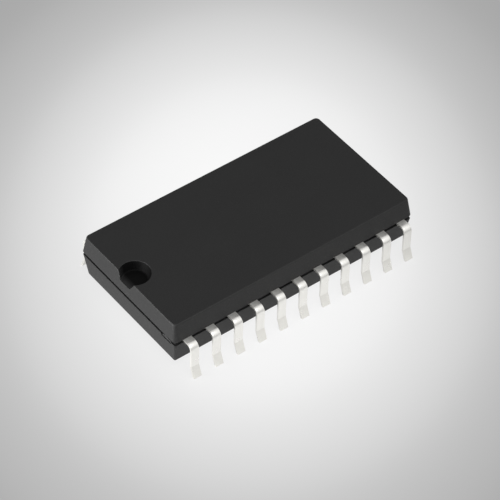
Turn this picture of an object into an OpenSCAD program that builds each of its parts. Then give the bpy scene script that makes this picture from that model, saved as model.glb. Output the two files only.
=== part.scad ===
// Dual in-line small-outline chip package, 22 leads, in millimetres.
// The board's surface is z = 0 and the middle of the body is x = y = 0.
// The body's length runs along X, with the pin 1 end at -X and pin 1 on the -Y side.

/* [Body] */
// Length of the moulded body at its parting line
body_length = 14.16; // [13.8:0.02:15.4]
// Width of the moulded body at its parting line
body_width = 7.48; // [7.2:0.02:8.4]
// Height of the upper half of the body, above the parting line
upper_height = 1.01; // [0.95:0.01:1.4]
// Height of the lower half of the body, below the parting line
lower_height = 1.5; // [1.2:0.05:1.8]
// Draft angle of the two end faces, in degrees
end_draft = 6.5; // [3:0.5:8]
// Draft angle of the two long sides, in degrees
side_draft = 9.5; // [5:0.5:12]
// Radius of the four upright corners
corner_radius = 0.22; // [0.16:0.01:0.35]
// Radius of the edges round the top and round the underside
edge_radius = 0.07; // [0.04:0.01:0.07]

/* [Parting line] */
// Height of the groove where the two mould halves met
groove_height = 0.22; // [0.15:0.01:0.25]
// Depth of that groove under the upper half's edge
groove_depth = 0.13; // [0.1:0.01:0.14]
// How far the lower half stands back from the upper half
lower_setback = 0.04; // [0.02:0.01:0.07]
// Width of the scar where the mould's gate broke off
scar_width = 0.75; // [0.4:0.05:1]
// Height of the gate scar, under the groove
scar_height = 0.1; // [0.06:0.01:0.2]
// Depth of the gate scar
scar_depth = 0.07; // [0.04:0.01:0.1]
// Distance of the gate scar from the middle of its end face
scar_offset = 3; // [2:0.05:3.1]

/* [Pin 1 pocket] */
// Diameter of the round pocket that marks the pin 1 end, at its rim
pocket_diameter = 1.58; // [1.3:0.02:1.8]
// Diameter of the pocket's floor
pocket_floor_diameter = 1.28; // [1:0.02:1.28]
// Depth of the pocket
pocket_depth = 0.48; // [0.4:0.02:0.6]
// Distance of the pocket's middle from the top's end edge
pocket_inset = 0.51; // [0.3:0.01:0.6]
// Distance of the pocket's middle from the body's long centre line
pocket_offset = 0.24; // [0:0.02:0.4]
// Radius between the pocket's floor and its wall
pocket_fillet = 0.06; // [0.04:0.01:0.1]

/* [Leads] */
// Distance from one lead to the next along a row
lead_pitch = 1.27; // [1.2:0.01:1.29]
// Width of a lead
lead_width = 0.45; // [0.31:0.01:0.51]
// Thickness of the lead frame's sheet
lead_thickness = 0.12; // [0.1:0.01:0.2]
// How far a lead's shank stands out from the side of the body, over its outer face
lead_reach = 0.6; // [0.56:0.01:0.9]
// Inside radius of the bend from the shoulder to the shank
bend_radius = 0.2; // [0.1:0.01:0.24]
// Gap between the board and the underside of the body
standoff = 0.49; // [0.3:0.01:0.7]
// Height of the foot, from the board up to the knee
foot_height = 0.62; // [0.5:0.01:0.9]
// How far the foot leans outwards from upright, in degrees
foot_angle = 21; // [8:1:24]
// Inside radius of the knee
knee_radius = 0.04; // [0.03:0.01:0.2]

/* [Lead fingers inside the body] */
// Distance from one finger tip to the next
tip_pitch = 1.02; // [0.9:0.01:1.1]
// Gap between the finger tips and the die paddle, seen from above
tip_gap = 0.25; // [0.15:0.01:0.35]
// Length of the straight end of a finger
tip_length = 0.4; // [0.3:0.02:0.5]
// Width of the wings that lock a lead in the moulding
wing_width = 0.7; // [0.6:0.02:0.8]
// Length of those wings along the lead
wing_length = 0.22; // [0.15:0.01:0.25]
// Distance of the wings from the side of the body
wing_inset = 0.25; // [0.15:0.01:0.3]

/* [Die paddle] */
// Length of the paddle that carries the die
paddle_length = 9.8; // [9.6:0.1:10.4]
// Width of the paddle
paddle_width = 3.4; // [3.2:0.1:3.6]
// How far the paddle is set below the leads
paddle_downset = 0.3; // [0.24:0.02:0.4]
// Width of the tie bars that hold the paddle's ends
tie_bar_width = 0.5; // [0.3:0.05:0.8]
// Length of the slope from a tie bar down to the paddle
tie_bar_slope = 0.4; // [0.3:0.05:0.6]
// Distance between the end of a tie bar and the body's end face
tie_bar_cutback = 0.2; // [0.15:0.01:0.3]

/* [Die] */
// Length of the silicon die
die_length = 8.8; // [8.4:0.1:9.2]
// Width of the die
die_width = 2.7; // [2.4:0.1:2.9]
// Thickness of the die
die_thickness = 0.28; // [0.2:0.01:0.32]
// Thickness of the adhesive under the die
glue_thickness = 0.03; // [0.02:0.005:0.05]
// How far the adhesive spreads past the die
glue_margin = 0.1; // [0.05:0.01:0.12]

/* [Bond wires] */
// Diameter of a bond wire
wire_diameter = 0.05; // [0.04:0.005:0.06]
// Distance from one bond pad to the next along the die
pad_pitch = 0.78; // [0.7:0.01:0.8]
// Distance of the bond pads from the die's long edge
pad_inset = 0.15; // [0.12:0.01:0.25]
// Height of a wire's arch above its ends
loop_height = 0.28; // [0.2:0.01:0.35]
// Diameter of the ball and of the stitch at the ends of a wire
bond_diameter = 0.12; // [0.1:0.01:0.14]
// Height of the ball and of the stitch
bond_height = 0.05; // [0.04:0.005:0.06]
// Height of a wire's middle above what it is bonded to, at its ends
wire_lift = 0.03; // [0.03:0.002:0.036]

/* [Hidden] */
leads_per_side = 11;
lead_count = 2 * leads_per_side;
lead_numbers = [1 : lead_count];

// Levels, from the board up
underside_z = standoff;
parting_z = underside_z + lower_height;
top_z = parting_z + upper_height;
sheet_top_z = parting_z;
paddle_top_z = sheet_top_z - paddle_downset;
die_bottom_z = paddle_top_z + glue_thickness;
die_top_z = die_bottom_z + die_thickness;

// Body
lower_length = body_length - 2 * lower_setback;
lower_width = body_width - 2 * lower_setback;
top_length = body_length - 2 * upper_height * tan(end_draft);
lip = 0.01;
corner_facets = 24;
edge_facets = 16;

// Leads
shank_y = body_width / 2 + lead_reach;
bend_outer_radius = bend_radius + lead_thickness;
bend_y = shank_y - bend_outer_radius;
bend_z = -bend_outer_radius;
board_z = -parting_z;
knee_z = board_z + foot_height;
tip_y = paddle_width / 2 + tip_gap;
wing_y = body_width / 2 - wing_inset - wing_length;
row_middle = (leads_per_side + 1) / 2;

// Bond wires
wire_radius = wire_diameter / 2;
pad_y = die_width / 2 - pad_inset;
stitch_y = tip_y + tip_length / 2;

// Cuts run past the surfaces that they open
past = 0.5;

$fn = 48;

// Leads are numbered anticlockwise from above: 1 to 11 on the -Y side, then 12 to 22 on the +Y side
function on_near_side(n) = n <= leads_per_side;
function place_in_row(n) = on_near_side(n) ? n - row_middle : leads_per_side + row_middle - n;
function two_digits(n) = n < 10 ? str("0", n) : str(n);
function lead_name(n) = str("lead_", two_digits(n));
function wire_name(n) = str("bond_wire_", two_digits(n));

// Puts what is drawn for the +Y side on the side that lead n is on
module on_side(n) {
    if (on_near_side(n))
        mirror([0, 1, 0]) children();
    else
        children();
}

// ---- Body ----

// Copies its children to the four corners of a rectangle
module at_corners(length, width) {
    for (x = [-1, 1], y = [-1, 1])
        translate([x * length / 2, y * width / 2, 0])
            children();
}

module rounded_rectangle(length, width, radius) {
    square([length - 2 * radius, width], center = true);
    square([length, width - 2 * radius], center = true);
    at_corners(length - 2 * radius, width - 2 * radius)
        circle(radius);
}

// Rounded end of an upright corner, with its rim at z = 0
module corner_cap() {
    translate([0, 0, -edge_radius])
        rotate_extrude($fn = corner_facets)
            translate([corner_radius - edge_radius, 0])
                circle(edge_radius, $fn = edge_facets);
}

// One half of the moulding, standing on its parting outline and narrowing upwards
module drafted_half(length, width, height) {
    far_length = length - 2 * height * tan(end_draft);
    far_width = width - 2 * height * tan(side_draft);
    hull() {
        at_corners(length - 2 * corner_radius, width - 2 * corner_radius)
            cylinder(h = lip, r = corner_radius, $fn = corner_facets);
        translate([0, 0, height])
            at_corners(far_length - 2 * corner_radius, far_width - 2 * corner_radius)
                corner_cap();
    }
}

module moulding() {
    translate([0, 0, parting_z])
        drafted_half(body_length, body_width, upper_height);
    translate([0, 0, parting_z - groove_height])
        linear_extrude(groove_height)
            rounded_rectangle(
                body_length - 2 * groove_depth,
                body_width - 2 * groove_depth,
                corner_radius - groove_depth / 2
            );
    translate([0, 0, parting_z - groove_height])
        mirror([0, 0, 1])
            drafted_half(lower_length, lower_width, lower_height - groove_height);
}

// Flat-bottomed round pocket with a tapered wall, open through the end face that it crosses
module pocket() {
    translate([pocket_inset - top_length / 2, pocket_offset, top_z - pocket_depth])
        rotate_extrude()
            pocket_outline();
}

// Half of the pocket's cross-section, standing on its floor
module pocket_outline() {
    rim_radius = pocket_diameter / 2;
    floor_radius = pocket_floor_diameter / 2;
    wall_angle = atan((rim_radius - floor_radius) / pocket_depth);
    full_height = pocket_depth + past;
    top_radius = floor_radius + full_height * tan(wall_angle);
    fillet_x = floor_radius - pocket_fillet * (1 - sin(wall_angle)) / cos(wall_angle);
    polygon([
        [0, 0],
        [fillet_x, 0],
        [fillet_x, pocket_fillet],
        [fillet_x + pocket_fillet * cos(wall_angle), pocket_fillet * (1 - sin(wall_angle))],
        [top_radius, full_height],
        [0, full_height]
    ]);
    translate([fillet_x, pocket_fillet])
        circle(pocket_fillet);
}

// Shallow scar under the groove, near the pin 1 corner
module gate_scar() {
    translate([
        -lower_length / 2 - past,
        -scar_offset - scar_width / 2,
        parting_z - groove_height - scar_height
    ])
        cube([past + scar_depth, scar_width, scar_height + groove_height / 2]);
}

module body() {
    color([0.17, 0.17, 0.17])
        difference() {
            moulding();
            pocket();
            gate_scar();
            for (n = lead_numbers)
                lead_shape(n);
            die_paddle_shape();
            die_attach_shape();
            die_shape();
            for (n = lead_numbers)
                bond_wire_shape(n);
        }
}

// ---- Leads ----

// Part of a ring of sheet, bent round the origin from one angle through another
module bent_sheet(inside_radius, start_angle, swept_angle) {
    outside_radius = inside_radius + lead_thickness;
    far = 2 * outside_radius;
    end_angle = start_angle + swept_angle;
    intersection() {
        difference() {
            circle(outside_radius);
            circle(inside_radius);
        }
        polygon([
            [0, 0],
            [far * cos(start_angle), far * sin(start_angle)],
            [far * cos(end_angle), far * sin(end_angle)]
        ]);
    }
}

// Side view of a lead outside the body: y runs outwards, z is measured from the parting line,
// which the sheet's upper face lies on
module lead_side_view() {
    root_y = body_width / 2 - wing_inset;
    translate([root_y, -lead_thickness])
        square([bend_y - root_y, lead_thickness]);
    translate([bend_y, bend_z])
        bent_sheet(bend_radius, 0, 90);
    translate([shank_y - lead_thickness, knee_z])
        square([lead_thickness, bend_z - knee_z]);
    translate([shank_y + knee_radius, knee_z])
        bent_sheet(knee_radius, 180, foot_angle);
    foot_side_view();
}

// The foot runs on from the knee and is cut off level with the board
module foot_side_view() {
    lean = [sin(foot_angle), -cos(foot_angle)];
    towards_knee = [-cos(foot_angle), -sin(foot_angle)];
    knee_middle = [shank_y + knee_radius, knee_z];
    outer_top = knee_middle + knee_radius * towards_knee;
    inner_top = knee_middle + (knee_radius + lead_thickness) * towards_knee;
    outer_run = (outer_top[1] - board_z) / cos(foot_angle);
    inner_run = (inner_top[1] - board_z) / cos(foot_angle);
    polygon([outer_top, outer_top + outer_run * lean, inner_top + inner_run * lean, inner_top]);
}

// Edge of a lead seen from above, from the finger tip out to the side of the body
function finger_edge(tip_x, root_x, side) = [
    [tip_x + side * lead_width / 2, tip_y],
    [tip_x + side * lead_width / 2, tip_y + tip_length],
    [root_x + side * lead_width / 2, wing_y - wing_length / 2],
    [root_x + side * lead_width / 2, wing_y],
    [root_x + side * wing_width / 2, wing_y],
    [root_x + side * wing_width / 2, wing_y + wing_length],
    [root_x + side * lead_width / 2, wing_y + wing_length],
    [root_x + side * lead_width / 2, body_width / 2]
];

function reversed(list) = [for (i = [len(list) - 1 : -1 : 0]) list[i]];

module finger_plan(tip_x, root_x) {
    polygon(concat(finger_edge(tip_x, root_x, -1), reversed(finger_edge(tip_x, root_x, 1))));
}

module lead_shape(n) {
    root_x = place_in_row(n) * lead_pitch;
    tip_x = place_in_row(n) * tip_pitch;
    translate([0, 0, parting_z])
        on_side(n) {
            translate([0, 0, -lead_thickness])
                linear_extrude(lead_thickness)
                    finger_plan(tip_x, root_x);
            translate([root_x, 0, 0])
                rotate([90, 0, 90])
                    linear_extrude(lead_width, center = true)
                        lead_side_view();
        }
}

module lead(n) {
    color([0.83, 0.83, 0.81])
        lead_shape(n);
}

// ---- Die paddle, with its two tie bars ----

// Side view of the tie bar at the +X end
module tie_bar_side_view() {
    slope_foot_x = paddle_length / 2;
    slope_top_x = slope_foot_x + tie_bar_slope;
    end_x = body_length / 2 - tie_bar_cutback;
    polygon([
        [slope_foot_x - past, paddle_top_z - lead_thickness],
        [slope_foot_x, paddle_top_z - lead_thickness],
        [slope_top_x, sheet_top_z - lead_thickness],
        [end_x, sheet_top_z - lead_thickness],
        [end_x, sheet_top_z],
        [slope_top_x, sheet_top_z],
        [slope_foot_x, paddle_top_z],
        [slope_foot_x - past, paddle_top_z]
    ]);
}

module die_paddle_shape() {
    translate([-paddle_length / 2, -paddle_width / 2, paddle_top_z - lead_thickness])
        cube([paddle_length, paddle_width, lead_thickness]);
    for (turn = [0, 180])
        rotate([0, 0, turn])
            rotate([90, 0, 0])
                linear_extrude(tie_bar_width, center = true)
                    tie_bar_side_view();
}

module die_paddle() {
    color([0.74, 0.47, 0.33])
        die_paddle_shape();
}

// ---- Die and its adhesive ----

module die_attach_shape() {
    length = die_length + 2 * glue_margin;
    width = die_width + 2 * glue_margin;
    translate([-length / 2, -width / 2, paddle_top_z])
        cube([length, width, glue_thickness]);
}

module die_attach() {
    color([0.72, 0.72, 0.74])
        die_attach_shape();
}

module die_shape() {
    translate([-die_length / 2, -die_width / 2, die_bottom_z])
        cube([die_length, die_width, die_thickness]);
}

module die() {
    color([0.36, 0.38, 0.46])
        die_shape();
}

// ---- Bond wires ----

// A wire drawn along +X: a ball on the die, an arched wire, and a stitch on the finger
module wire_loop(span) {
    fall = die_top_z - sheet_top_z;
    chord = norm([span, fall]);
    arch_radius = (chord * chord / 4 + loop_height * loop_height) / (2 * loop_height);
    half_angle = asin(chord / 2 / arch_radius);
    translate([0, 0, die_top_z])
        cylinder(h = bond_height, d = bond_diameter);
    translate([0, 0, die_top_z + wire_lift])
        rotate([0, atan2(fall, span), 0])
            translate([chord / 2, 0, loop_height - arch_radius])
                rotate([90, 0, 0])
                    rotate([0, 0, 90 - half_angle])
                        rotate_extrude(angle = 2 * half_angle)
                            translate([arch_radius, 0])
                                circle(wire_radius);
    translate([span, 0, sheet_top_z])
        cylinder(h = bond_height, d = bond_diameter);
}

module bond_wire_shape(n) {
    pad = [place_in_row(n) * pad_pitch, pad_y];
    stitch = [place_in_row(n) * tip_pitch, stitch_y];
    along = stitch - pad;
    on_side(n)
        translate([pad[0], pad[1], 0])
            rotate([0, 0, atan2(along[1], along[0])])
                wire_loop(norm(along));
}

module bond_wire(n) {
    color([0.92, 0.74, 0.32])
        bond_wire_shape(n);
}

body();
for (n = lead_numbers)
    lead(n);
die_paddle();
die_attach();
die();
for (n = lead_numbers)
    bond_wire(n);
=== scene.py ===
# Small-outline chip package with 22 bent leads, put together in the order in which it is made:
# lead frame paddle, die, bond wires, leads, moulded body, then the table, lamps and camera.
# Everything is in metres. The board's surface is z = 0, and the pin 1 end is at -X.
import math

import bmesh
import bpy
from mathutils import Matrix, Quaternion, Vector


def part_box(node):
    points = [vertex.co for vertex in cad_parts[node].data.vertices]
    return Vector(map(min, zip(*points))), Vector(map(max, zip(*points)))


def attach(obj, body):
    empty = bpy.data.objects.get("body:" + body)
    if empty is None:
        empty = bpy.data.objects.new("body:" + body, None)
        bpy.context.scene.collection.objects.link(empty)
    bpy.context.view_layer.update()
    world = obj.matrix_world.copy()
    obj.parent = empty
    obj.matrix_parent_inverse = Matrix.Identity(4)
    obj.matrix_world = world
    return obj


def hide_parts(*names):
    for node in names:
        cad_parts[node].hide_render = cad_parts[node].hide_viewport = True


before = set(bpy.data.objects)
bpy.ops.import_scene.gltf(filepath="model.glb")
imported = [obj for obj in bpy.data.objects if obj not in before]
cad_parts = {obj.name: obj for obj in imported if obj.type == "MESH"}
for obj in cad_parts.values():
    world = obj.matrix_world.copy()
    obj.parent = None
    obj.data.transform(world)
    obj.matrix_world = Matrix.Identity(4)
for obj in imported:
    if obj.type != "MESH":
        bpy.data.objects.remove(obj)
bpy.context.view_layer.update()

MM = 0.001


# ---- Die paddle ----
# The paddle is the middle of the copper lead frame. It is stamped from strip, set down below
# the leads, and held at both ends by its tie bars. The strip's rolling marks run along X.

def start_material(name, base_color, roughness, metallic=0.0):
    """A new material, with its nodes, its links and its Principled shader."""
    material = bpy.data.materials.new(name)
    material.use_nodes = True
    nodes = material.node_tree.nodes
    shader = nodes["Principled BSDF"]
    shader.inputs["Base Color"].default_value = (*base_color, 1)
    shader.inputs["Roughness"].default_value = roughness
    shader.inputs["Metallic"].default_value = metallic
    return material, nodes, material.node_tree.links, shader


def start_group(name, inputs, outputs):
    """A new shader node group with float inputs given as {name: usual value}."""
    group = bpy.data.node_groups.new(name, "ShaderNodeTree")
    for socket, usual in inputs.items():
        made = group.interface.new_socket(socket, in_out="INPUT", socket_type="NodeSocketFloat")
        made.default_value = usual
    for socket in outputs:
        group.interface.new_socket(socket, in_out="OUTPUT", socket_type="NodeSocketFloat")
    return group, group.nodes.new("NodeGroupInput"), group.nodes.new("NodeGroupOutput")


def make_rolling_marks():
    """Fine parallel marks along X, as cold-rolled strip has, broken up by slow blotches."""
    group, given, result = start_group(
        "rolling_marks",
        {"Across": 30000, "Along": 1500, "Blotches": 1200},
        ["Marks", "Blotch"],
    )
    nodes = group.nodes
    links = group.links
    place = nodes.new("ShaderNodeTexCoord")
    stretch = nodes.new("ShaderNodeCombineXYZ")
    stretched = nodes.new("ShaderNodeVectorMath")
    stretched.operation = "MULTIPLY"
    marks = nodes.new("ShaderNodeTexNoise")
    marks.inputs["Scale"].default_value = 1
    marks.inputs["Detail"].default_value = 3
    blotch = nodes.new("ShaderNodeTexNoise")
    blotch.inputs["Detail"].default_value = 2
    links.new(given.outputs["Along"], stretch.inputs["X"])
    links.new(given.outputs["Across"], stretch.inputs["Y"])
    links.new(given.outputs["Across"], stretch.inputs["Z"])
    links.new(place.outputs["Object"], stretched.inputs[0])
    links.new(stretch.outputs["Vector"], stretched.inputs[1])
    links.new(stretched.outputs["Vector"], marks.inputs["Vector"])
    links.new(place.outputs["Object"], blotch.inputs["Vector"])
    links.new(given.outputs["Blotches"], blotch.inputs["Scale"])
    links.new(marks.outputs["Fac"], result.inputs["Marks"])
    links.new(blotch.outputs["Fac"], result.inputs["Blotch"])
    return group


rolling_marks = make_rolling_marks()


def copper_strip():
    """Bare copper alloy, slightly browned, with rolling marks."""
    material, nodes, links, shader = start_material("copper_strip", (0.72, 0.38, 0.24), 0.35, 1.0)
    marks = nodes.new("ShaderNodeGroup")
    marks.node_tree = rolling_marks
    tint = nodes.new("ShaderNodeMix")
    tint.data_type = "RGBA"
    tint.inputs["A"].default_value = (0.78, 0.44, 0.28, 1)
    tint.inputs["B"].default_value = (0.55, 0.27, 0.16, 1)
    dull = nodes.new("ShaderNodeMapRange")
    dull.inputs["To Min"].default_value = 0.26
    dull.inputs["To Max"].default_value = 0.46
    relief = nodes.new("ShaderNodeBump")
    relief.inputs["Strength"].default_value = 0.4
    relief.inputs["Distance"].default_value = 0.002 * MM
    links.new(marks.outputs["Blotch"], tint.inputs["Factor"])
    links.new(tint.outputs["Result"], shader.inputs["Base Color"])
    links.new(marks.outputs["Marks"], dull.inputs["Value"])
    links.new(dull.outputs["Result"], shader.inputs["Roughness"])
    links.new(marks.outputs["Marks"], relief.inputs["Height"])
    links.new(relief.outputs["Normal"], shader.inputs["Normal"])
    return material


def dress_node(node, material):
    """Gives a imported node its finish. Its shape stays as it is."""
    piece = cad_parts[node]
    piece.data.materials.clear()
    piece.data.materials.append(material)


dress_node("die_paddle", copper_strip())


# ---- Die adhesive ----
# A thin film of silver-filled epoxy, dispensed on the paddle and squeezed out a little past the
# die when it is set down. It cures to a dull pale grey, speckled by its silver flakes.

def silver_epoxy():
    material, nodes, links, shader = start_material("silver_epoxy", (0.5, 0.5, 0.52), 0.6)
    place = nodes.new("ShaderNodeTexCoord")
    flakes = nodes.new("ShaderNodeTexVoronoi")
    flakes.inputs["Scale"].default_value = 60000
    bright = nodes.new("ShaderNodeMapRange")
    bright.inputs["From Min"].default_value = 0.1
    bright.inputs["From Max"].default_value = 0.6
    bright.inputs["To Min"].default_value = 0.7
    bright.inputs["To Max"].default_value = 0.35
    tint = nodes.new("ShaderNodeCombineColor")
    shine = nodes.new("ShaderNodeMapRange")
    shine.inputs["To Min"].default_value = 0.35
    shine.inputs["To Max"].default_value = 0.75
    links.new(place.outputs["Object"], flakes.inputs["Vector"])
    links.new(flakes.outputs["Distance"], bright.inputs["Value"])
    for channel in ("Red", "Green", "Blue"):
        links.new(bright.outputs["Result"], tint.inputs[channel])
    links.new(tint.outputs["Color"], shader.inputs["Base Color"])
    links.new(flakes.outputs["Distance"], shine.inputs["Value"])
    links.new(shine.outputs["Result"], shader.inputs["Roughness"])
    return material


dress_node("die_attach", silver_epoxy())


# ---- Silicon die ----
# A sawn block of silicon, face up on the paddle. Its face carries rows of metal wiring under
# glass, which show as a fine grid of tints, and its sawn sides are plain dark grey.

def silicon():
    material, nodes, links, shader = start_material("silicon", (0.16, 0.16, 0.19), 0.2)
    shader.inputs["Specular IOR Level"].default_value = 0.9
    place = nodes.new("ShaderNodeTexCoord")
    wiring = nodes.new("ShaderNodeTexBrick")
    wiring.inputs["Scale"].default_value = 1600
    wiring.inputs["Mortar Size"].default_value = 0.03
    wiring.inputs["Color1"].default_value = (0.14, 0.17, 0.24, 1)
    wiring.inputs["Color2"].default_value = (0.24, 0.2, 0.17, 1)
    wiring.inputs["Mortar"].default_value = (0.36, 0.33, 0.26, 1)
    facing = nodes.new("ShaderNodeSeparateXYZ")
    face_up = nodes.new("ShaderNodeMapRange")
    face_up.inputs["From Min"].default_value = 0.8
    tint = nodes.new("ShaderNodeMix")
    tint.data_type = "RGBA"
    tint.inputs["A"].default_value = (0.13, 0.13, 0.14, 1)
    sawn = nodes.new("ShaderNodeMapRange")
    sawn.inputs["To Min"].default_value = 0.5
    sawn.inputs["To Max"].default_value = 0.15
    links.new(place.outputs["Object"], wiring.inputs["Vector"])
    links.new(place.outputs["Normal"], facing.inputs["Vector"])
    links.new(facing.outputs["Z"], face_up.inputs["Value"])
    links.new(face_up.outputs["Result"], tint.inputs["Factor"])
    links.new(wiring.outputs["Color"], tint.inputs["B"])
    links.new(tint.outputs["Result"], shader.inputs["Base Color"])
    links.new(face_up.outputs["Result"], sawn.inputs["Value"])
    links.new(sawn.outputs["Result"], shader.inputs["Roughness"])
    return material


dress_node("die", silicon())


# ---- Bond wires ----
# Gold wires, drawn hair-thin and looped from each pad on the die to the tip of its lead by a
# heated tool. Drawing leaves the gold bright, with faint lengthwise lines.

def gold_wire():
    material, nodes, links, shader = start_material("gold_wire", (0.9, 0.66, 0.28), 0.22, 1.0)
    marks = nodes.new("ShaderNodeGroup")
    marks.node_tree = rolling_marks
    marks.inputs["Across"].default_value = 4000
    marks.inputs["Along"].default_value = 90000
    dull = nodes.new("ShaderNodeMapRange")
    dull.inputs["To Min"].default_value = 0.14
    dull.inputs["To Max"].default_value = 0.34
    tint = nodes.new("ShaderNodeMix")
    tint.data_type = "RGBA"
    tint.inputs["A"].default_value = (0.95, 0.72, 0.33, 1)
    tint.inputs["B"].default_value = (0.82, 0.57, 0.2, 1)
    links.new(marks.outputs["Marks"], dull.inputs["Value"])
    links.new(dull.outputs["Result"], shader.inputs["Roughness"])
    links.new(marks.outputs["Blotch"], tint.inputs["Factor"])
    links.new(tint.outputs["Result"], shader.inputs["Base Color"])
    return material


lead_count = 22
leads_in_row = 11
drawn_gold = gold_wire()
for number in range(1, lead_count + 1):
    dress_node(f"bond_wire_{number:02d}", drawn_gold)


# ---- Leads ----
# Each lead is a finger of the copper frame, plated with dull tin. Outside the body it is bent
# down to a steep shank, and its foot leans out from it and is sheared level with the board. One
# leg is shaped and copied 22 times, and each copy then gets its own finger inside the body.

def start_clean():
    """Leaves edit mode and deselects everything."""
    if bpy.context.object and bpy.context.object.mode != "OBJECT":
        bpy.ops.object.mode_set(mode="OBJECT")
    bpy.ops.object.select_all(action="DESELECT")


def add_block(name, low, high):
    """A block between two corners, open for editing, with its place in its mesh."""
    start_clean()
    middle = (Vector(low) + Vector(high)) / 2
    size = Vector(high) - Vector(low)
    bpy.ops.mesh.primitive_cube_add(size=1, location=middle, scale=size)
    block = bpy.context.object
    block.name = name
    bpy.ops.object.transform_apply(location=True, rotation=True, scale=True)
    bpy.ops.object.mode_set(mode="EDIT")
    return block


def open_piece(piece):
    """Makes a piece the active one, and opens it for editing."""
    start_clean()
    bpy.context.view_layer.objects.active = piece
    piece.select_set(True)
    bpy.ops.object.mode_set(mode="EDIT")


def pick(piece, kind, wanted):
    """Selects only the faces or edges of a piece that wanted() holds for."""
    bpy.ops.mesh.select_mode(type=kind)
    bpy.ops.mesh.select_all(action="DESELECT")
    form = bmesh.from_edit_mesh(piece.data)
    for part in form.faces if kind == "FACE" else form.edges:
        if wanted(part):
            part.select_set(True)
    bmesh.update_edit_mesh(piece.data)


def pull(offset):
    """Extrudes the selected face and moves it."""
    bpy.ops.mesh.extrude_region_move(TRANSFORM_OT_translate={"value": offset})


def middle_of(edge):
    return (edge.verts[0].co + edge.verts[1].co) / 2


first_low, first_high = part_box("lead_01")
next_low, next_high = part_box("lead_02")
body_low, body_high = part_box("body")
lead_pitch = next_low.x - first_low.x
lead_width = 0.45 * MM
sheet = 0.12 * MM
bend_inside = 0.2 * MM
knee_inside = 0.04 * MM
foot_lean = math.radians(21)
foot_height = 0.62 * MM
parting_z = 1.99 * MM
sheet_top_z = parting_z
side_y = body_low.y
wing_outer_y = side_y + 0.25 * MM
wing_inner_y = wing_outer_y + 0.22 * MM
wing_widening = 0.7 / 0.45
finger_start_y = wing_inner_y + 0.11 * MM
finger_tip_y = first_high.y
finger_end_y = finger_tip_y - 0.4 * MM
tip_pitch = 1.02 * MM

# The shank's outer face stands where the foot's outer line meets the knee
shank_y = side_y - 0.6 * MM
bend_y = shank_y + sheet + bend_inside
bend_z = sheet_top_z - sheet - bend_inside
knee_y = shank_y - knee_inside

# Two places closer than this are taken to be the same
slack = 0.001 * MM


def shape_leg():
    """The outer part of a lead on the -Y side, at x = 0, open at its inner end."""
    leg = add_block(
        "leg",
        (-lead_width / 2, bend_y, sheet_top_z - sheet),
        (lead_width / 2, wing_outer_y, sheet_top_z),
    )
    pick(leg, "FACE", lambda face: face.normal.y < -0.9)
    bpy.ops.mesh.spin(
        steps=10, angle=math.radians(-90), center=(0, bend_y, bend_z), axis=(1, 0, 0)
    )
    pull((0, 0, foot_height - bend_z))
    bpy.ops.mesh.spin(
        steps=3, angle=foot_lean, center=(0, knee_y, foot_height), axis=(1, 0, 0)
    )
    past_board = foot_height + 0.1 * MM
    pull((0, -past_board * math.tan(foot_lean), -past_board))
    bpy.ops.mesh.select_all(action="SELECT")
    bpy.ops.mesh.bisect(
        plane_co=(0, 0, 0), plane_no=(0, 0, 1), use_fill=True, clear_inner=True
    )
    bpy.ops.mesh.select_all(action="SELECT")
    bpy.ops.mesh.normals_make_consistent(inside=False)
    return leg


def round_leg_edges(leg):
    """Breaks the sheared edges, which the plating rounds further."""
    def sheared(edge):
        at_root = middle_of(edge).y > wing_outer_y - slack
        return not at_root and edge.calc_face_angle(0) > math.radians(50)
    pick(leg, "EDGE", sheared)
    bpy.ops.mesh.bevel(offset=0.012 * MM, segments=2, affect="EDGES")


def grow_finger(piece, place):
    """Pulls the finger inwards from the leg's root: locking wings, then the run to the tip."""
    open_piece(piece)
    root_x = place * lead_pitch
    root_y = wing_outer_y - slack
    pick(piece, "FACE", lambda face: face.normal.y > 0.9 and face.calc_center_median().y > root_y)
    pull((0, 0, 0))
    bpy.ops.transform.resize(value=(wing_widening, 1, 1), center_override=(root_x, 0, 0))
    pull((0, wing_inner_y - wing_outer_y, 0))
    pull((0, 0, 0))
    bpy.ops.transform.resize(value=(1 / wing_widening, 1, 1), center_override=(root_x, 0, 0))
    pull((0, finger_start_y - wing_inner_y, 0))
    pull((place * (tip_pitch - lead_pitch), finger_end_y - finger_start_y, 0))
    pull((0, finger_tip_y - finger_end_y, 0))
    bpy.ops.object.mode_set(mode="OBJECT")


def make_tarnish():
    """Cloudy patches and fine specks, as dull plating and moulded resin both have."""
    group, given, result = start_group(
        "clouds_and_specks",
        {"Cloud Scale": 900, "Speck Scale": 30000, "Speck Amount": 0.3},
        ["Clouds", "Specks"],
    )
    nodes = group.nodes
    links = group.links
    place = nodes.new("ShaderNodeTexCoord")
    clouds = nodes.new("ShaderNodeTexNoise")
    clouds.inputs["Detail"].default_value = 4
    clouds.inputs["Roughness"].default_value = 0.6
    specks = nodes.new("ShaderNodeTexNoise")
    specks.inputs["Detail"].default_value = 2
    sharp = nodes.new("ShaderNodeMapRange")
    sharp.inputs["From Min"].default_value = 0.55
    sharp.inputs["From Max"].default_value = 0.72
    links.new(place.outputs["Object"], clouds.inputs["Vector"])
    links.new(given.outputs["Cloud Scale"], clouds.inputs["Scale"])
    links.new(place.outputs["Object"], specks.inputs["Vector"])
    links.new(given.outputs["Speck Scale"], specks.inputs["Scale"])
    links.new(specks.outputs["Fac"], sharp.inputs["Value"])
    links.new(given.outputs["Speck Amount"], sharp.inputs["To Max"])
    links.new(clouds.outputs["Fac"], result.inputs["Clouds"])
    links.new(sharp.outputs["Result"], result.inputs["Specks"])
    return group


clouds_and_specks = make_tarnish()


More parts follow.
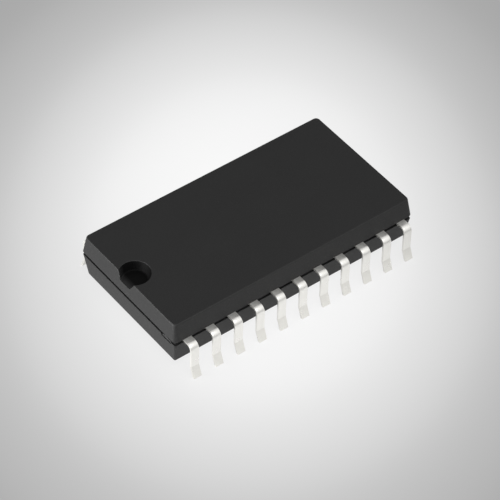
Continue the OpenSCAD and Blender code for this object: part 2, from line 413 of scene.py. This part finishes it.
def tin_plating():
    """Dull tin over copper, with bare copper at the sheared end of the toe, and painted shade that
    makes the foot below the knee greyer.
    """
    material, nodes, links, shader = start_material("tin_plating", (0.95, 0.94, 0.9), 0.3, 0.85)
    place = nodes.new("ShaderNodeTexCoord")
    patches = nodes.new("ShaderNodeGroup")
    patches.node_tree = clouds_and_specks
    patches.inputs["Cloud Scale"].default_value = 2500
    patches.inputs["Speck Scale"].default_value = 45000
    tint = nodes.new("ShaderNodeMix")
    tint.data_type = "RGBA"
    tint.inputs["A"].default_value = (0.99, 0.98, 0.945, 1)
    tint.inputs["B"].default_value = (0.94, 0.93, 0.885, 1)
    height = nodes.new("ShaderNodeSeparateXYZ")
    at_toe = nodes.new("ShaderNodeMapRange")
    at_toe.inputs["From Min"].default_value = 0.004 * MM
    at_toe.inputs["From Max"].default_value = 0.001 * MM
    # Painted shade: below the knee the tin is painted greyer, standing in for the foot's dimmer
    # reflection
    below_knee = nodes.new("ShaderNodeMapRange")
    below_knee.inputs["From Min"].default_value = foot_height + 0.02 * MM
    below_knee.inputs["From Max"].default_value = foot_height - 0.02 * MM
    painted_foot_shade = nodes.new("ShaderNodeMix")
    painted_foot_shade.data_type = "RGBA"
    painted_foot_shade.inputs["B"].default_value = (0.875, 0.865, 0.82, 1)
    sheared = nodes.new("ShaderNodeMix")
    sheared.data_type = "RGBA"
    sheared.inputs["B"].default_value = (0.7, 0.4, 0.27, 1)
    dull = nodes.new("ShaderNodeMapRange")
    dull.inputs["From Min"].default_value = 0.3
    dull.inputs["From Max"].default_value = 0.7
    dull.inputs["To Min"].default_value = 0.26
    dull.inputs["To Max"].default_value = 0.36
    relief = nodes.new("ShaderNodeBump")
    relief.inputs["Strength"].default_value = 0.35
    relief.inputs["Distance"].default_value = 0.003 * MM
    links.new(patches.outputs["Clouds"], tint.inputs["Factor"])
    links.new(place.outputs["Object"], height.inputs["Vector"])
    links.new(height.outputs["Z"], at_toe.inputs["Value"])
    links.new(at_toe.outputs["Result"], sheared.inputs["Factor"])
    links.new(height.outputs["Z"], below_knee.inputs["Value"])
    links.new(below_knee.outputs["Result"], painted_foot_shade.inputs["Factor"])
    links.new(tint.outputs["Result"], painted_foot_shade.inputs["A"])
    links.new(painted_foot_shade.outputs["Result"], sheared.inputs["A"])
    links.new(sheared.outputs["Result"], shader.inputs["Base Color"])
    links.new(patches.outputs["Clouds"], dull.inputs["Value"])
    links.new(dull.outputs["Result"], shader.inputs["Roughness"])
    links.new(patches.outputs["Specks"], relief.inputs["Height"])
    links.new(relief.outputs["Normal"], shader.inputs["Normal"])
    return material


dull_tin = tin_plating()
leg = shape_leg()
round_leg_edges(leg)
bpy.ops.object.mode_set(mode="OBJECT")
for number in range(1, lead_count + 1):
    near_side = number <= leads_in_row
    place = number - 6 if near_side else number - 17
    lead = leg.copy()
    lead.data = leg.data.copy()
    lead.name = f"tinned_lead_{number:02d}"
    bpy.context.collection.objects.link(lead)
    lead.data.transform(Matrix.Translation((place * lead_pitch, 0, 0)))
    grow_finger(lead, place)
    if not near_side:
        lead.data.transform(Matrix.Rotation(math.pi, 4, "Z"))
    bpy.ops.object.shade_smooth_by_angle(angle=math.radians(32))
    lead.data.materials.append(dull_tin)
    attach(lead, "root")
    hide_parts(f"lead_{number:02d}")
bpy.data.objects.remove(leg)


# ---- Moulded body ----
# Black silica-filled epoxy, moulded round the lead frame in a two-part mould. The halves taper
# from the parting line, where a groove runs between them. A round pocket marks the pin 1 end,
# and the gate where the resin flowed in has left a broken scar below the groove.

end_draft = math.tan(math.radians(6.5))
side_draft = math.tan(math.radians(9.5))
corner_radius = 0.22 * MM
edge_radius = 0.07 * MM
lower_setback = 0.04 * MM
groove_height = 0.22 * MM
groove_depth = 0.13 * MM
ledge_z = parting_z - groove_height
pocket_x = -6.455 * MM
pocket_y = 0.24 * MM
pocket_depth = 0.48 * MM
pocket_rim_radius = 0.79 * MM
pocket_floor_radius = 0.64 * MM
pocket_fillet = 0.06 * MM
scar_y = -3 * MM
scar_width = 0.75 * MM


def taper(piece, z, length, width):
    """Brings the corners at height z to a rectangle of the given length and width."""
    def at_height(face):
        return abs(face.normal.z) > 0.9 and abs(face.calc_center_median().z - z) < slack
    pick(piece, "FACE", at_height)
    form = bmesh.from_edit_mesh(piece.data)
    chosen = [face for face in form.faces if face.select][0]
    now_length = max(corner.co.x for corner in chosen.verts) * 2
    now_width = max(corner.co.y for corner in chosen.verts) * 2
    bpy.ops.transform.resize(
        value=(length / now_length, width / now_width, 1), center_override=(0, 0, z)
    )


def shape_body():
    """Both halves and the groove between them, as one closed shape."""
    length = body_high.x * 2
    width = body_high.y * 2
    top_z = body_high.z
    bottom_z = body_low.z
    upper = top_z - parting_z
    lower = ledge_z - bottom_z
    lower_length = length - 2 * lower_setback
    lower_width = width - 2 * lower_setback
    piece = add_block(
        "moulded_body",
        (-length / 2, -width / 2, parting_z),
        (length / 2, width / 2, top_z),
    )
    taper(piece, top_z, length - 2 * upper * end_draft, width - 2 * upper * side_draft)
    pick(piece, "EDGE", lambda edge: abs(edge.verts[0].co.z - edge.verts[1].co.z) > 0.5 * upper)
    bpy.ops.mesh.bevel(offset=corner_radius, segments=7, affect="EDGES")
    pick(piece, "FACE", lambda face: face.normal.z < -0.9)
    bpy.ops.mesh.inset(thickness=groove_depth, use_even_offset=True)
    pull((0, 0, -groove_height))
    pull((0, 0, 0))
    taper(piece, ledge_z, lower_length, lower_width)
    pull((0, 0, -lower))
    taper(
        piece,
        bottom_z,
        lower_length - 2 * lower * end_draft,
        lower_width - 2 * lower * side_draft,
    )
    return piece


def cut(piece, tool, name):
    """Takes a tool's shape out of a piece, and throws the tool away."""
    start_clean()
    bpy.context.view_layer.objects.active = piece
    piece.select_set(True)
    hollow = piece.modifiers.new(name, "BOOLEAN")
    hollow.operation = "DIFFERENCE"
    hollow.solver = "EXACT"
    hollow.object = tool
    bpy.ops.object.modifier_apply(modifier=hollow.name)
    bpy.data.objects.remove(tool)


def shape_pocket_tool():
    """A tapered plug with a rounded lower rim, the shape of the pocket."""
    past_top = 0.5 * MM
    spread = (pocket_rim_radius - pocket_floor_radius) / pocket_depth * past_top
    start_clean()
    bpy.ops.mesh.primitive_cone_add(
        vertices=64,
        radius1=pocket_floor_radius,
        radius2=pocket_rim_radius + spread,
        depth=pocket_depth + past_top,
        location=(pocket_x, pocket_y, body_high.z + (past_top - pocket_depth) / 2),
    )
    tool = bpy.context.object
    bpy.ops.object.transform_apply(location=True, rotation=True, scale=True)
    bpy.ops.object.mode_set(mode="EDIT")
    floor_z = body_high.z - pocket_depth
    pick(tool, "EDGE", lambda edge: max(corner.co.z for corner in edge.verts) < floor_z + slack)
    bpy.ops.mesh.bevel(offset=pocket_fillet, segments=4, affect="EDGES")
    bpy.ops.object.mode_set(mode="OBJECT")
    return tool


def shape_gate_tool():
    """The chipped hollow that the broken gate leaves under the groove."""
    top = parting_z - 0.19 * MM
    bottom = parting_z - 0.33 * MM
    tool = add_block(
        "gate_tool",
        (-body_high.x - 0.3 * MM, scar_y - scar_width / 2, bottom),
        (-body_high.x + 0.11 * MM, scar_y + scar_width / 2, top),
    )
    bpy.ops.mesh.select_all(action="SELECT")
    bpy.ops.mesh.subdivide(number_cuts=5)
    pick(tool, "FACE", lambda face: face.normal.z < -0.9 or face.normal.x > 0.9)
    bpy.ops.transform.vertex_random(offset=0.03 * MM, uniform=0.6, seed=4)
    bpy.ops.object.mode_set(mode="OBJECT")
    return tool


def in_pocket_wall(face):
    """Whether a face belongs to the wall of the pin 1 pocket."""
    middle = face.calc_center_median()
    from_pocket = (middle.xy - Vector((pocket_x, pocket_y))).length
    within = from_pocket < pocket_rim_radius + 0.01 * MM
    return within and abs(face.normal.z) < 0.5 and middle.z > parting_z + 0.1 * MM


def share_of_rounding(edge):
    """How much of the full edge radius an edge gets, from 0 to 1."""
    levels = [corner.co.z for corner in edge.verts]
    lowest = min(levels)
    highest = max(levels)
    middle = middle_of(edge)
    outermost = max(abs(middle.x) / body_high.x, abs(middle.y) / body_high.y) > 0.985
    at_top = lowest > body_high.z - slack
    if any(in_pocket_wall(face) for face in edge.link_faces):
        return 0.3 if at_top or highest < body_high.z - 0.4 * MM else 0.8
    if at_top or highest < body_low.z + slack:
        return 1
    if outermost and abs(lowest - ledge_z) < slack and abs(highest - ledge_z) < slack:
        return 0.2
    if outermost and abs(lowest - parting_z) < slack and abs(highest - parting_z) < slack:
        return 0.3
    return 0


def flatten_top(piece):
    """Brings down the few points that the rounding lifts above the top, beside the pocket."""
    open_piece(piece)
    bpy.ops.mesh.select_mode(type="VERT")
    form = bmesh.from_edit_mesh(piece.data)
    for corner in form.verts:
        corner.select_set(corner.co.z > body_high.z + 0.0001 * MM)
    bmesh.update_edit_mesh(piece.data)
    bpy.ops.transform.resize(value=(1, 1, 0), center_override=(0, 0, body_high.z))
    bpy.ops.object.mode_set(mode="OBJECT")


def round_body_edges(piece):
    """Rounds the edges round the top and underside, and softens the pocket's rim."""
    open_piece(piece)
    form = bmesh.from_edit_mesh(piece.data)
    layers = form.edges.layers.float
    weight = layers.get("bevel_weight_edge") or layers.new("bevel_weight_edge")
    for edge in form.edges:
        if len(edge.link_faces) == 2 and edge.calc_face_angle(0) >= math.radians(20):
            edge[weight] = share_of_rounding(edge)
    bmesh.update_edit_mesh(piece.data)
    bpy.ops.object.mode_set(mode="OBJECT")
    rounding = piece.modifiers.new("rounding", "BEVEL")
    rounding.limit_method = "WEIGHT"
    rounding.width = edge_radius
    rounding.segments = 4
    rounding.use_clamp_overlap = False
    bpy.ops.object.modifier_apply(modifier=rounding.name)
    flatten_top(piece)


def mould_compound():
    """Matt black resin: fine spark-eroded grain, pale filler specks and slow flow clouds, with
    painted shade in the pin 1 pocket.
    """
    material, nodes, links, shader = start_material("mould_compound", (0.01, 0.01, 0.01), 0.55)
    patches = nodes.new("ShaderNodeGroup")
    patches.node_tree = clouds_and_specks
    patches.inputs["Cloud Scale"].default_value = 420
    patches.inputs["Speck Scale"].default_value = 24000
    patches.inputs["Speck Amount"].default_value = 1
    place = nodes.new("ShaderNodeTexCoord")
    grain = nodes.new("ShaderNodeTexNoise")
    grain.inputs["Scale"].default_value = 16000
    grain.inputs["Detail"].default_value = 3
    cloudy = nodes.new("ShaderNodeMix")
    cloudy.data_type = "RGBA"
    cloudy.inputs["A"].default_value = (0.0065, 0.0065, 0.0067, 1)
    cloudy.inputs["B"].default_value = (0.0105, 0.0105, 0.0103, 1)
    speckled = nodes.new("ShaderNodeMix")
    speckled.data_type = "RGBA"
    speckled.inputs["B"].default_value = (0.026, 0.026, 0.0255, 1)
    dull = nodes.new("ShaderNodeMapRange")
    dull.inputs["From Min"].default_value = 0.3
    dull.inputs["From Max"].default_value = 0.7
    dull.inputs["To Min"].default_value = 0.545
    dull.inputs["To Max"].default_value = 0.6
    relief = nodes.new("ShaderNodeBump")
    relief.inputs["Strength"].default_value = 0.5
    relief.inputs["Distance"].default_value = 0.004 * MM
    links.new(patches.outputs["Clouds"], cloudy.inputs["Factor"])
    links.new(cloudy.outputs["Result"], speckled.inputs["A"])
    links.new(patches.outputs["Specks"], speckled.inputs["Factor"])

    # Painted shade: the pocket's wall and floor are painted darker and made less shiny than the
    # rest, as shade in the hollow, fading out to its open end
    from_axis = nodes.new("ShaderNodeVectorMath")
    from_axis.operation = "SUBTRACT"
    from_axis.inputs[1].default_value = (pocket_x, pocket_y, body_high.z - pocket_depth / 2)
    squashed = nodes.new("ShaderNodeVectorMath")
    squashed.operation = "MULTIPLY"
    squashed.inputs[1].default_value = (1, 1, 0)
    radius = nodes.new("ShaderNodeVectorMath")
    radius.operation = "LENGTH"
    in_round = nodes.new("ShaderNodeMath")
    in_round.operation = "LESS_THAN"
    in_round.inputs[1].default_value = pocket_rim_radius - 0.005 * MM
    level = nodes.new("ShaderNodeSeparateXYZ")
    in_depth = nodes.new("ShaderNodeMath")
    in_depth.operation = "COMPARE"
    in_depth.inputs[1].default_value = 0
    in_depth.inputs[2].default_value = pocket_depth / 2 + 0.01 * MM
    from_opening = nodes.new("ShaderNodeMapRange")
    from_opening.inputs["From Min"].default_value = -0.53 * MM
    from_opening.inputs["From Max"].default_value = -0.15 * MM
    in_pocket = nodes.new("ShaderNodeMath")
    in_pocket.operation = "MULTIPLY"
    painted_shade_mask = nodes.new("ShaderNodeMath")
    painted_shade_mask.operation = "MULTIPLY"
    # Painted shade: a near-black colour laid over the inside of the pocket
    painted_shade_tint = nodes.new("ShaderNodeMix")
    painted_shade_tint.data_type = "RGBA"
    painted_shade_tint.inputs["B"].default_value = (0.0035, 0.0035, 0.0035, 1)
    shine = nodes.new("ShaderNodeMix")
    shine.inputs["A"].default_value = 0.5
    shine.inputs["B"].default_value = 0.06
    links.new(place.outputs["Object"], from_axis.inputs[0])
    links.new(from_axis.outputs["Vector"], squashed.inputs[0])
    links.new(squashed.outputs["Vector"], radius.inputs[0])
    links.new(radius.outputs["Value"], in_round.inputs[0])
    links.new(from_axis.outputs["Vector"], level.inputs["Vector"])
    links.new(level.outputs["Z"], in_depth.inputs[0])
    links.new(level.outputs["X"], from_opening.inputs["Value"])
    links.new(in_round.outputs["Value"], in_pocket.inputs[0])
    links.new(in_depth.outputs["Value"], in_pocket.inputs[1])
    links.new(in_pocket.outputs["Value"], painted_shade_mask.inputs[0])
    links.new(from_opening.outputs["Result"], painted_shade_mask.inputs[1])
    links.new(patches.outputs["Clouds"], dull.inputs["Value"])
    links.new(dull.outputs["Result"], shader.inputs["Roughness"])
    links.new(speckled.outputs["Result"], painted_shade_tint.inputs["A"])
    links.new(painted_shade_mask.outputs["Value"], painted_shade_tint.inputs["Factor"])
    links.new(painted_shade_tint.outputs["Result"], shader.inputs["Base Color"])
    links.new(painted_shade_mask.outputs["Value"], shine.inputs["Factor"])
    links.new(shine.outputs["Result"], shader.inputs["Specular IOR Level"])
    links.new(place.outputs["Object"], grain.inputs["Vector"])
    links.new(grain.outputs["Fac"], relief.inputs["Height"])
    links.new(relief.outputs["Normal"], shader.inputs["Normal"])
    return material


moulded_body = shape_body()
bpy.ops.object.mode_set(mode="OBJECT")
cut(moulded_body, shape_pocket_tool(), "pocket")
round_body_edges(moulded_body)
cut(moulded_body, shape_gate_tool(), "gate_scar")
bpy.ops.object.shade_smooth_by_angle(angle=math.radians(32))
even_light = moulded_body.modifiers.new("even_light", "WEIGHTED_NORMAL")
even_light.keep_sharp = True
bpy.ops.object.modifier_apply(modifier=even_light.name)
moulded_body.data.materials.clear()
moulded_body.data.materials.append(mould_compound())
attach(moulded_body, "root")
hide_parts("body")


# ---- Table ----
# A wide sheet of matt white card, with a painted pool of light: bright under the part and falling
# off softly all round.
# It isn't part of the object.

def white_card():
    material, nodes, links, shader = start_material("white_card", (0.9, 0.9, 0.9), 0.9)
    shader.inputs["Specular IOR Level"].default_value = 0.1
    place = nodes.new("ShaderNodeTexCoord")
    turned = nodes.new("ShaderNodeMapping")
    turned.vector_type = "TEXTURE"
    turned.inputs["Location"].default_value = (1.34 * MM, 1.48 * MM, 0)
    turned.inputs["Rotation"].default_value = (0, 0, math.radians(-38.5))
    turned.inputs["Scale"].default_value = (20 * MM, 27.8 * MM, 1)
    reach = nodes.new("ShaderNodeVectorMath")
    reach.operation = "LENGTH"
    # Painted pool of light: near white under the part, falling to grey far out; the card's glow
    # carries it too
    painted_light_pool = nodes.new("ShaderNodeValToRGB")
    painted_light_pool.color_ramp.interpolation = "CARDINAL"
    painted_light_pool.color_ramp.elements.remove(painted_light_pool.color_ramp.elements[1])
    painted_light_pool.color_ramp.elements[0].color = (0.985, 0.985, 0.985, 1)
    for distance, level in ((0.2, 0.975), (0.4, 0.85), (0.6, 0.625), (0.8, 0.452), (1.0, 0.4)):
        stop = painted_light_pool.color_ramp.elements.new(distance)
        stop.color = (level, level, level, 1)
    glow = nodes.new("ShaderNodeEmission")
    seen = nodes.new("ShaderNodeLightPath")
    to_eye = nodes.new("ShaderNodeMath")
    to_eye.operation = "MULTIPLY"
    to_eye.inputs[1].default_value = 0.85
    share = nodes.new("ShaderNodeMath")
    share.operation = "MULTIPLY_ADD"
    share.inputs[1].default_value = 0.6
    blend = nodes.new("ShaderNodeMixShader")
    output = nodes["Material Output"]
    links.new(place.outputs["Object"], turned.inputs["Vector"])
    links.new(turned.outputs["Vector"], reach.inputs[0])
    links.new(reach.outputs["Value"], painted_light_pool.inputs["Fac"])
    links.new(painted_light_pool.outputs["Color"], shader.inputs["Base Color"])
    links.new(painted_light_pool.outputs["Color"], glow.inputs["Color"])
    links.new(seen.outputs["Is Camera Ray"], to_eye.inputs[0])
    links.new(seen.outputs["Is Glossy Ray"], share.inputs[0])
    links.new(to_eye.outputs["Value"], share.inputs[2])
    links.new(share.outputs["Value"], blend.inputs["Fac"])
    links.new(shader.outputs["BSDF"], blend.inputs[1])
    links.new(glow.outputs["Emission"], blend.inputs[2])
    links.new(blend.outputs["Shader"], output.inputs["Surface"])
    return material


start_clean()
bpy.ops.mesh.primitive_plane_add(size=1.2, location=(0, 0, 0))
card = bpy.context.object
card.name = "table_card"
card.data.materials.append(white_card())


# ---- Room and lamps ----
# A pale room, with a broad soft glow overhead on the side away from the pin 1 end, as from a large
# diffuser. One soft lamp stands high at the front and one low at the pin 1 end.
# None of it is part of the object.

def make_room():
    """Even grey walls, and the diffuser's glow that fades away from its middle."""
    world = bpy.data.worlds.new("pale_room")
    bpy.context.scene.world = world
    world.use_nodes = True
    nodes = world.node_tree.nodes
    links = world.node_tree.links
    place = nodes.new("ShaderNodeTexCoord")
    towards = nodes.new("ShaderNodeVectorMath")
    towards.operation = "DOT_PRODUCT"
    towards.inputs[1].default_value = (0.439, -0.488, 0.755)
    near = nodes.new("ShaderNodeMapRange")
    near.inputs["From Min"].default_value = 0.25
    soft = nodes.new("ShaderNodeMath")
    soft.operation = "POWER"
    soft.inputs[1].default_value = 1.5
    level = nodes.new("ShaderNodeMapRange")
    level.inputs["To Min"].default_value = 0.23
    level.inputs["To Max"].default_value = 1.02
    links.new(place.outputs["Generated"], towards.inputs[0])
    links.new(towards.outputs["Value"], near.inputs["Value"])
    links.new(near.outputs["Result"], soft.inputs[0])
    links.new(soft.outputs["Value"], level.inputs["Value"])
    links.new(level.outputs["Result"], nodes["Background"].inputs["Strength"])
    nodes["Background"].inputs["Color"].default_value = (1, 1, 1, 1)


def add_panel(name, place, aim, width, depth, power):
    """A soft rectangular lamp that shines from its place towards a point."""
    lamp = bpy.data.lights.new(name, "AREA")
    lamp.shape = "RECTANGLE"
    lamp.size = width
    lamp.size_y = depth
    lamp.energy = power
    panel = bpy.data.objects.new(name, lamp)
    bpy.context.collection.objects.link(panel)
    panel.location = place
    panel.rotation_euler = (Vector(place) - Vector(aim)).to_track_quat("Z", "Y").to_euler()
    panel.visible_camera = False
    return panel


make_room()
add_panel("front_panel", (-0.03, -0.05, 0.08), (0, 0, 0), 0.08, 0.08, 0.028)
add_panel("end_panel", (-0.097, 0.0155, 0.014), (0, 0, 0.0015), 0.07, 0.024, 0.13)


# ---- Camera ----
# A long lens, looking down at the pin 1 corner from the front left. The camera is rolled a little
# round its own axis.

camera_data = bpy.data.cameras.new("camera")
camera_data.lens = 193.53
camera_data.sensor_width = 36
camera_data.clip_start = 0.005
camera_data.clip_end = 5
camera = bpy.data.objects.new("camera", camera_data)
bpy.context.collection.objects.link(camera)
camera.location = (-55.792 * MM, -70.26 * MM, 93.527 * MM)
back = Vector((-0.43307, -0.54393, 0.71874))
roll = Quaternion((0, 0, 1), math.radians(1.607))
camera.rotation_euler = (back.to_track_quat("Z", "Y") @ roll).to_euler()
bpy.context.scene.camera = camera
bpy.context.scene.view_settings.view_transform = "Standard"
